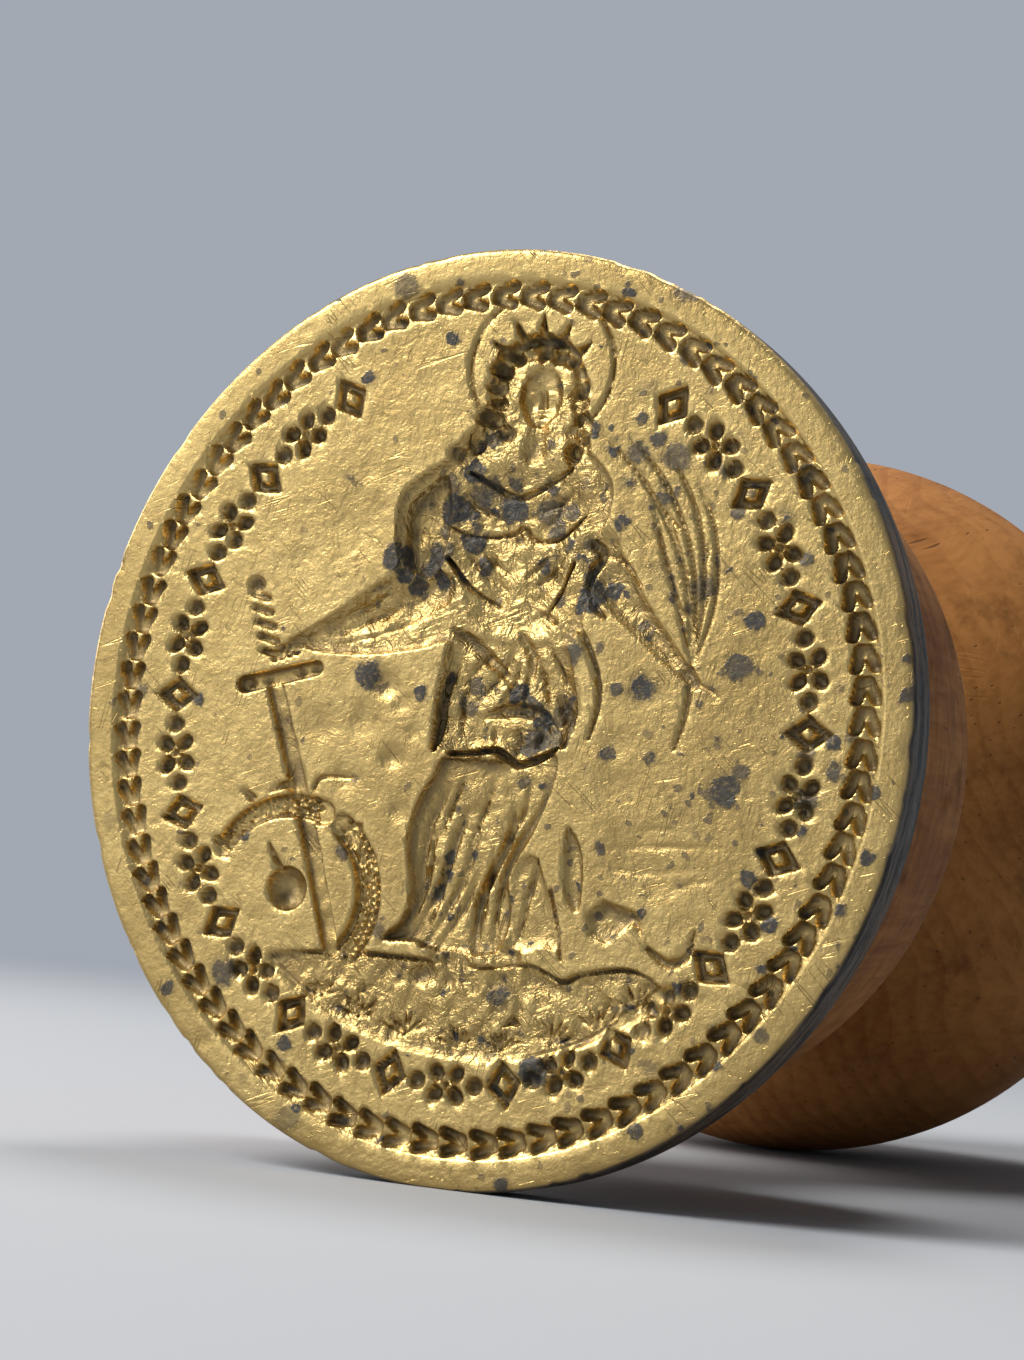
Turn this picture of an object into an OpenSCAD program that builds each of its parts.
// Desk seal: an engraved oval die that screws into a turned wooden handle.
// It lies on its side: engraved face towards -Y, handle along +Y, +Z up, origin at the middle of the face.
// All sizes are in millimetres.

/* [Die] */

// Height of the oval die, along its long axis
die_height = 40; // [36:0.5:44]
// How much narrower than high the die is
die_slim = 2.5; // [1.5:0.25:4.5]
// Thickness of the die plate
die_thickness = 2.8; // [2.4:0.1:4]
// Depth of the small flat worn on the lower end of the rim
rest_flat = 0.1; // [0.05:0.01:0.3]

/* [Leaf border] */

// Width of the plain rim outside the leaf border
rim_width = 1.35; // [1:0.05:1.6]
// Width of the leaf border
border_width = 1.35; // [1.1:0.05:1.6]
// Number of leaf pairs in the border
border_leaves = 84; // [72:2:90]
// Depth of the leaf cuts
border_depth = 0.35; // [0.2:0.05:0.5]

/* [Ornament ring] */

// Distance from the rim's edge to the middle of the ornament ring
ring_inset = 4.4; // [4.1:0.1:4.7]
// Height of one ornament
ornament_size = 1.9; // [1.4:0.1:2.1]
// Ornament places around the ring, some left free at the top for the halo
ornament_places = 36; // [28:2:38]
// Places left free at the top
free_places = 5; // [3:2:7]
// Depth of the ornament cuts
ornament_depth = 0.4; // [0.2:0.05:0.5]
// Diameter of the punched dots
dot_diameter = 0.8; // [0.5:0.1:1.1]

/* [Figure] */

// Height of the engraved figure from hem to crown
figure_height = 27; // [24:0.5:27.5]
// Depth of the deepest body cuts
figure_depth = 0.9; // [0.5:0.05:1]
// Depth of the folds, the sword and the other thin cuts
line_depth = 0.4; // [0.2:0.05:0.5]
// Depth of the halo line
halo_depth = 0.15; // [0.1:0.05:0.3]

/* [Tang] */

// Diameter of the boss on the back of the die
boss_diameter = 11; // [10:0.5:12]
// Length of the boss
boss_length = 4; // [3.5:0.25:5]
// Diameter of the plain end that sits in the boss
spigot_diameter = 6; // [5:0.25:6.5]
// Metal left in front of the tang's plain end
spigot_cover = 2; // [1.8:0.1:2.3]
// Outer diameter of the thread
thread_diameter = 8; // [7:0.25:9]
// Thread pitch
thread_pitch = 2; // [1.5:0.25:2.5]
// Threaded length
thread_length = 13; // [10:0.5:14]
// Depth of the thread grooves
thread_depth = 0.9; // [0.5:0.05:1]
// Diameter of the cross pin that locks the tang in the boss
pin_diameter = 1.5; // [1:0.1:1.8]

/* [Bush] */

// Diameter of the bush flange
flange_diameter = 20; // [18.5:0.25:21]
// Thickness of the bush flange
flange_thickness = 2; // [1.75:0.25:3]
// Diameter of the bush barrel
barrel_diameter = 12; // [11:0.25:12.5]
// Length of the barrel behind the flange
barrel_length = 12.5; // [12:0.5:14]
// Gap between the boss and the flange
boss_gap = 0.5; // [0.3:0.1:1]

/* [Bush screws] */

// Head diameter of the two screws
screw_head = 3; // [2.4:0.2:3.2]
// Shank diameter of the screws
screw_shank = 1.6; // [1.2:0.1:1.8]
// Length of the screws
screw_length = 9; // [6:0.5:10]

/* [Seat washer] */

// Outer diameter of the leather washer under the die
washer_diameter = 31; // [28:0.5:32]
// Thickness of the leather washer
washer_thickness = 0.6; // [0.4:0.1:1]
// Gap between the washer's hole and the handle's recess
washer_margin = 0.6; // [0.3:0.1:1]

/* [Handle] */

// Largest diameter of the base drum
base_diameter = 34.4; // [33:0.2:35]
// Length of the base drum
base_length = 16.1; // [15:0.1:20]
// How much the drum swells between its ends
base_swell = 0.4; // [0.2:0.05:0.8]
// Rounding of the drum's edges
base_round = 1.5; // [0.8:0.1:2]
// Diameter of the neck
neck_diameter = 17; // [15:0.5:19]
// Radius of the hollow between drum and neck
cove_radius = 4; // [3:0.25:4.5]
// Distance of the knob's middle behind the die's face
knob_middle = 51; // [49:0.5:56]
// Thickness of the bead under the knob
bead_thickness = 3; // [2:0.25:3.5]

/* [Fits] */

// Radial clearance of the thread in the bush
thread_clearance = 0.05; // [0.02:0.01:0.1]
// Radial clearance of pressed and glued parts
press_clearance = 0.02; // [0.01:0.01:0.05]

/* [Hidden] */

$fn = 96;

brass = [0.78, 0.63, 0.32];
steel = [0.55, 0.56, 0.58];
leather = [0.36, 0.25, 0.17];
wood = [0.66, 0.40, 0.19];

// Four-centre oval: two end arcs and two side arcs that meet in a tangent
half_h = die_height / 2;
half_w = half_h - die_slim / 2;
end_r = 2 * half_w - half_h;
end_c = half_h - end_r;
side_r = (end_c * end_c + half_w * half_w - end_r * end_r) / (2 * (half_w - end_r));
side_c = side_r - half_w;
meet = atan2(end_c, side_c);

// Depths behind the face
die_back = die_thickness;
boss_end = die_back + boss_length;
pin_depth = die_back + boss_length / 2;
thread_end = boss_end + thread_length;
seat = die_back + washer_thickness;
flange_face = boss_end + boss_gap;
barrel_start = flange_face + flange_thickness;
barrel_end = barrel_start + barrel_length;
base_end = seat + base_length;

// Radii that follow from other sizes
recess_r = flange_diameter / 2 + press_clearance;
washer_bore_r = recess_r + washer_margin;
screw_circle = (barrel_diameter + flange_diameter) / 4;
knob_r = half_h - rest_flat;
drum_edge_r = base_diameter / 2 - base_swell;
swell_r = (base_length * base_length / 4 + base_swell * base_swell) / (2 * base_swell);
thread_turns = floor(thread_length / thread_pitch) - 1;

// Sizes of the engraving
border_mid = rim_width + border_width / 2;
leaf_pitch = 4 * quarter_len(border_mid) / border_leaves;
leaf_r = border_width * 0.15;
leaf_splay = 14;
leaf_slant = 28;
petal = ornament_size * 0.36;
palm_depth = line_depth * 0.6;
u = figure_height / 27;
head_x = 1.3;
head_y = 13.8;
halo_r = 3.2;

// Oval outline, drawn the given distance inside the die's edge
module oval(inset) {
  reach = (side_r - inset) * sin(meet);
  translate([0, end_c])
    circle(end_r - inset);
  translate([0, -end_c])
    circle(end_r - inset);
  intersection() {
    translate([side_c, 0])
      circle(side_r - inset);
    translate([-side_c, 0])
      circle(side_r - inset);
    translate([-die_height, -reach])
      square([2 * die_height, 2 * reach]);
  }
}

// Length of a quarter of the inset oval, and of its side arc
function side_len(inset) = (side_r - inset) * meet * PI / 180;
function quarter_len(inset) = side_len(inset) + (end_r - inset) * (90 - meet) * PI / 180;

// Heading, x and y of a place on the first quarter, counted from the widest point
function heading(s, inset) =
  s < side_len(inset)
    ? s / (side_r - inset) * 180 / PI
    : meet + (s - side_len(inset)) / (end_r - inset) * 180 / PI;
function quarter_x(a, inset) =
  a < meet ? (side_r - inset) * cos(a) - side_c : (end_r - inset) * cos(a);
function quarter_y(a, inset) =
  a < meet ? (side_r - inset) * sin(a) : end_c + (end_r - inset) * sin(a);

// Puts a child on the inset oval at a share of its length, its y axis pointing outwards
module on_oval(share, inset) {
  q = quarter_len(inset);
  s = (share - floor(share)) * 4 * q;
  n = floor(s / q);
  a = heading(n % 2 == 0 ? s - n * q : (n + 1) * q - s, inset);
  sx = n == 0 || n == 3 ? 1 : -1;
  sy = n < 2 ? 1 : -1;
  dir = atan2(sy * sin(a), sx * cos(a));
  translate([sx * quarter_x(a, inset), sy * quarter_y(a, inset), 0])
    rotate([0, 0, dir - 90])
      children();
}

// Stands a piece drawn along +Z on the row's axis: depth behind the face runs along +Y
module laid() {
  rotate([-90, 0, 0])
    children();
}

// Radius of a round cut that is as wide and as deep as asked
function cut_r(w, d) = (w * w / 4 + d * d) / (2 * d);

// One leaf of the border: a slanting cut, deep at its round end
module leaf(side) {
  translate([0, side * border_width * 0.23, 0])
    rotate([0, 0, -side * leaf_splay])
      translate([-leaf_pitch * 0.36, 0, border_depth])
        rotate([0, 90 + leaf_slant, 0])
          cylinder(h = 2 * border_width, r = leaf_r, $fn = 24);
}

// Four petals, one ornament of the ring
module quatrefoil() {
  for (k = [0:3]) {
    rotate([0, 0, 45 + 90 * k])
      translate([petal * 0.75, 0, ornament_depth - cut_r(petal, ornament_depth)])
        sphere(cut_r(petal, ornament_depth), $fn = 48);
  }
}

// Lozenge pit, the other ornament of the ring
module lozenge() {
  translate([0, 0, -1])
    linear_extrude(height = 1 + ornament_depth)
      rotate(45)
        square(ornament_size * 0.62, center = true);
}

// Punched dot
module dot() {
  translate([0, 0, -1])
    cylinder(h = 1 + ornament_depth, d = dot_diameter, $fn = 32);
}

// Every cut of the two rings
module ring_cuts() {
  for (i = [0:border_leaves - 1]) {
    on_oval((i + 0.5) / border_leaves, border_mid) {
      leaf(1);
      leaf(-1);
    }
  }
  for (i = [1:ornament_places - 1]) {
    share = 0.75 + i / ornament_places;
    if (i > free_places / 2 && i < ornament_places - free_places / 2) {
      on_oval(share, ring_inset) {
        if (i % 2 == 0) quatrefoil();
        else lozenge();
      }
    }
    if (i > free_places / 2 && i + 1 < ornament_places - free_places / 2) {
      on_oval(share + 0.5 / ornament_places, ring_inset)
        dot();
    }
  }
}

// Sinks a drawing into the face; drawings count x to the right and y upwards
module sunk(depth) {
  translate([0, 0, -1])
    linear_extrude(height = 1 + depth)
      mirror([0, 1])
        scale(u)
          children();
}

// Straight bar between two places of a drawing
module bar(x1, y1, x2, y2, w) {
  long = sqrt((x2 - x1) * (x2 - x1) + (y2 - y1) * (y2 - y1));
  translate([x1, y1])
    rotate(atan2(y2 - y1, x2 - x1))
      translate([0, -w / 2])
        square([long, w]);
}

// Robed body with both arms
module body_drawing() {
  translate([head_x, head_y])
    circle(1.65);
  polygon([
    [-2.6, 11], [-4.6, 9.4], [-4.5, 6.6], [-6.4, 4.9], [-8.8, 2.9], [-8.5, 2.3], [-5, 2.7], [-1.6, 3],
    [-2.3, -1], [-2.9, -5], [-3.4, -9.8], [-1, -10.2], [2, -10], [2.6, -6], [4, -3], [4.6, 0], [4.2, 3],
    [4.6, 5.4], [6, 4.2], [8.6, 1.5], [9.3, 1.9], [7.6, 4.4], [5.4, 7], [5.4, 9], [4.4, 10.8], [2.4, 12.4], [0, 12.4]
  ]);
}

// Parts of the body that lie deepest
module deep_drawing() {
  translate([head_x, head_y])
    circle(1.2);
  translate([0.8, 8.2])
    circle(3);
  translate([1.5, 1.2])
    circle(2.3);
}

// Hollows between the skirt folds
module fold_drawing() {
  for (k = [0:3]) {
    bar(-0.7 + 1.05 * k, -2, -2.2 + 1.15 * k, -9.3, 0.5);
  }
}

// Sword, with its guard and blade
module sword_drawing() {
  bar(-11.1, 0.75, -7.8, 1.55, 0.55);
  bar(-9.5, 1.1, -5.5, -11, 0.75);
}

// Broken wheel with its hub
module wheel_drawing() {
  translate([-8.2, -8.1]) {
    circle(0.85);
    difference() {
      circle(4.3);
      circle(3.3);
      translate([-5, -6])
        square([10, 4]);
      rotate(140)
        square([6, 6]);
    }
  }
}

// Palm branch: two ribs on a bend
module palm_drawing() {
  difference() {
    translate([-0.2, 3.6])
      circle(9.5);
    translate([-0.5, 3.6])
      circle(9.3);
    translate([-20, -20])
      square([40, 22]);
    translate([-20, -20])
      square([24.4, 40]);
  }
}

// Five rays of the crown
module crown_drawing() {
  for (k = [-2:2]) {
    translate([head_x, head_y])
      rotate(-24 * k)
        polygon([[-0.25, 1.5], [0.25, 1.5], [0, 2.7]]);
  }
}

// Ground under the figure
module ground_drawing() {
  intersection() {
    translate([0.5, -1.2])
      circle(13);
    translate([-12, -16])
      square([24, 5.4]);
  }
}

// Every cut of the standing figure and of what it holds
module figure_cuts() {
  sunk(line_depth) {
    body_drawing();
    sword_drawing();
    wheel_drawing();
    crown_drawing();
    ground_drawing();
  }
  sunk(figure_depth)
    deep_drawing();
  sunk((line_depth + figure_depth) / 2)
    fold_drawing();
  sunk(palm_depth)
    palm_drawing();
  sunk(halo_depth)
    translate([head_x, head_y + 0.6])
      difference() {
        circle(halo_r + 0.13);
        circle(halo_r - 0.13);
      }
}

// Engraved die with the boss on its back
module die() {
  color(brass)
    laid()
      difference() {
        union() {
          linear_extrude(height = die_thickness)
            oval(0);
          cylinder(h = boss_end, d = boss_diameter);
        }
        ring_cuts();
        figure_cuts();
        translate([-half_w, half_h - rest_flat, -1])
          cube([2 * half_w, 2 * rest_flat, die_thickness + 2]);
        translate([0, 0, spigot_cover])
          cylinder(h = boss_end, d = spigot_diameter + 2 * press_clearance);
        translate([-boss_diameter, 0, pin_depth])
          rotate([0, 90, 0])
            cylinder(h = 2 * boss_diameter, d = pin_diameter + 2 * press_clearance);
      }
}

// Tang: a plain end for the boss, and a thread for the bush
module tang() {
  color(steel)
    laid()
      difference() {
        union() {
          translate([0, 0, spigot_cover + press_clearance])
            cylinder(h = thread_end - spigot_cover - press_clearance, d = spigot_diameter);
          translate([0, 0, boss_end])
            rotate_extrude()
              difference() {
                square([thread_diameter / 2, thread_length]);
                for (k = [0:thread_turns]) {
                  translate([thread_diameter / 2, (k + 1) * thread_pitch])
                    polygon([[0.1, -thread_pitch * 0.45], [-thread_depth, 0], [0.1, thread_pitch * 0.45]]);
                }
              }
        }
        translate([-thread_diameter, 0, pin_depth])
          rotate([0, 90, 0])
            cylinder(h = 2 * thread_diameter, d = pin_diameter + 2 * press_clearance);
      }
}

// Pin across boss and tang
module tang_pin() {
  color(steel)
    laid()
      translate([-boss_diameter / 2 + 0.2, 0, pin_depth])
        rotate([0, 90, 0])
          cylinder(h = boss_diameter - 0.4, d = pin_diameter);
}

// Leather washer between the die and the drum
module seat_washer() {
  color(leather)
    laid()
      translate([0, 0, die_back])
        difference() {
          cylinder(h = washer_thickness, d = washer_diameter);
          translate([0, 0, -1])
            cylinder(h = washer_thickness + 2, r = washer_bore_r);
        }
}

// Half outline of the turned handle
module handle_outline() {
  intersection() {
    union() {
      translate([0, seat])
        square([drum_edge_r + base_swell, base_length - base_round]);
      translate([0, seat])
        square([drum_edge_r - base_round, base_length]);
      translate([drum_edge_r - base_round, base_end - base_round])
        circle(base_round);
    }
    translate([drum_edge_r + base_swell - swell_r, seat + base_length / 2])
      circle(swell_r, $fn = 360);
    translate([0, seat])
      square([base_diameter, base_length]);
  }
  difference() {
    translate([0, base_end - 1])
      square([neck_diameter / 2 + cove_radius, cove_radius + 1]);
    translate([neck_diameter / 2 + cove_radius, base_end + cove_radius])
      circle(cove_radius);
  }
  translate([0, base_end])
    square([neck_diameter / 2, knob_middle - base_end]);
  translate([neck_diameter / 2, knob_middle - sqrt(knob_r * knob_r - neck_diameter * neck_diameter / 4)])
    translate([0, -bead_thickness / 2])
      circle(d = bead_thickness);
  intersection() {
    translate([0, knob_middle])
      circle(knob_r);
    translate([0, knob_middle - knob_r])
      square([knob_r, 2 * knob_r]);
  }
}

// Turned handle with the recess and the bore for the bush
module handle() {
  color(wood)
    laid()
      difference() {
        rotate_extrude()
          handle_outline();
        translate([0, 0, seat - 1])
          cylinder(h = barrel_start - seat + 1, r = recess_r);
        cylinder(h = barrel_end + 1, d = barrel_diameter + 2 * press_clearance);
        for (side = [-1, 1]) {
          translate([side * screw_circle, 0, flange_face])
            cylinder(h = screw_length + 0.5, d = screw_shank + 2 * press_clearance);
        }
      }
}

// Threaded bush let into the handle
module bush() {
  color(brass)
    laid()
      difference() {
        union() {
          translate([0, 0, flange_face])
            cylinder(h = flange_thickness, d = flange_diameter);
          translate([0, 0, flange_face])
            cylinder(h = flange_thickness + barrel_length, d = barrel_diameter);
        }
        cylinder(h = barrel_end + 1, d = thread_diameter + 2 * thread_clearance);
        for (side = [-1, 1]) {
          translate([side * screw_circle, 0, 0])
            screw_space();
        }
      }
}

// Countersunk hole for one screw
module screw_space() {
  translate([0, 0, flange_face - 1])
    cylinder(h = flange_thickness + 2, d = screw_shank + 2 * press_clearance);
  translate([0, 0, flange_face])
    cylinder(h = screw_head / 2, d1 = screw_head + 2 * press_clearance, d2 = 2 * press_clearance);
}

// Countersunk screw with a slot
module bush_screw(side) {
  color(steel)
    laid()
      translate([side * screw_circle, 0, flange_face])
        difference() {
          union() {
            cylinder(h = screw_head / 2, d1 = screw_head, d2 = 0);
            cylinder(h = screw_length, d = screw_shank);
          }
          translate([-screw_head, -0.25, -1])
            cube([2 * screw_head, 0.5, 1.4]);
        }
}

module bush_screw_1() {
  bush_screw(1);
}

module bush_screw_2() {
  bush_screw(-1);
}

die();
tang();
tang_pin();
seat_washer();
handle();
bush();
bush_screw_1();
bush_screw_2();
